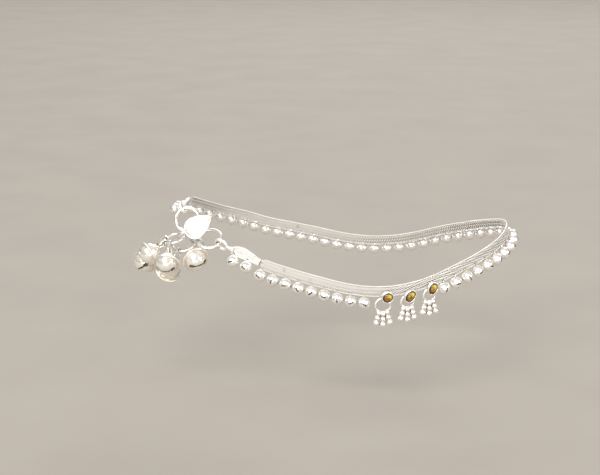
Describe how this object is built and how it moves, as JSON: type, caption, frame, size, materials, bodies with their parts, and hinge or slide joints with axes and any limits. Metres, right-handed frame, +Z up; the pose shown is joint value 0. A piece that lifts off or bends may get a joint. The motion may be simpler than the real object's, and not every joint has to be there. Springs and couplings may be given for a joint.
{
  "type": "payal anklet",
  "caption": "Silver payal anklet: woven strap with ball drops, stone charms, two rings, a leaf hook and a cluster of bells.",
  "frame": {"origin": "middle of the ankle that the anklet goes round", "axes": "+Z up, +X towards the heel, -X towards the instep and the clasp, -Y towards the side with the charms"},
  "size_m": [0.1331, 0.0692, 0.0365],
  "materials": {
    "silver": "polished silver, softly worn",
    "drop_silver": "bright polished silver",
    "bell_silver": "bright polished silver",
    "stone": "amber glass, domed and polished"
  },
  "bodies": {
    "root": {"bell_1": "bell_silver", "bell_2": "bell_silver", "bell_3": "bell_silver", "bell_4": "bell_silver", "bell_5": "bell_silver", "bell_link_1": "silver", "bell_link_2": "silver", "bell_link_3": "silver", "bell_link_4": "silver", "bell_link_5": "silver", "bell_link_6": "silver", "bell_link_7": "silver", "charm_1": "drop_silver", "charm_2": "drop_silver", "charm_3": "drop_silver", "drop_01": "drop_silver", "drop_02": "drop_silver", "drop_03": "drop_silver", "drop_04": "drop_silver", "drop_05": "drop_silver", "drop_06": "drop_silver", "drop_07": "drop_silver", "drop_08": "drop_silver", "drop_09": "drop_silver", "drop_10": "drop_silver", "drop_11": "drop_silver", "drop_12": "drop_silver", "drop_13": "drop_silver", "drop_14": "drop_silver", "drop_15": "drop_silver", "drop_16": "drop_silver", "drop_17": "drop_silver", "drop_18": "drop_silver", "drop_19": "drop_silver", "drop_20": "drop_silver", "drop_21": "drop_silver", "drop_22": "drop_silver", "drop_cap_far_1": "drop_silver", "drop_cap_far_2": "drop_silver", "drop_cap_near_1": "drop_silver", "drop_cap_near_2": "drop_silver", "drop_row_1": "drop_silver", "drop_row_2": "drop_silver", "drop_row_3": "drop_silver", "end_cap_far": "silver", "end_cap_near": "silver", "gather_ring_lower": "silver", "gather_ring_upper": "silver", "leaf_hook": "silver", "ring_far": "silver", "ring_near": "silver", "setting_1": "silver", "setting_2": "silver", "setting_3": "silver", "stone_1": "stone", "stone_2": "stone", "stone_3": "stone", "woven_band": "silver"}
  },
  "joints": []
}
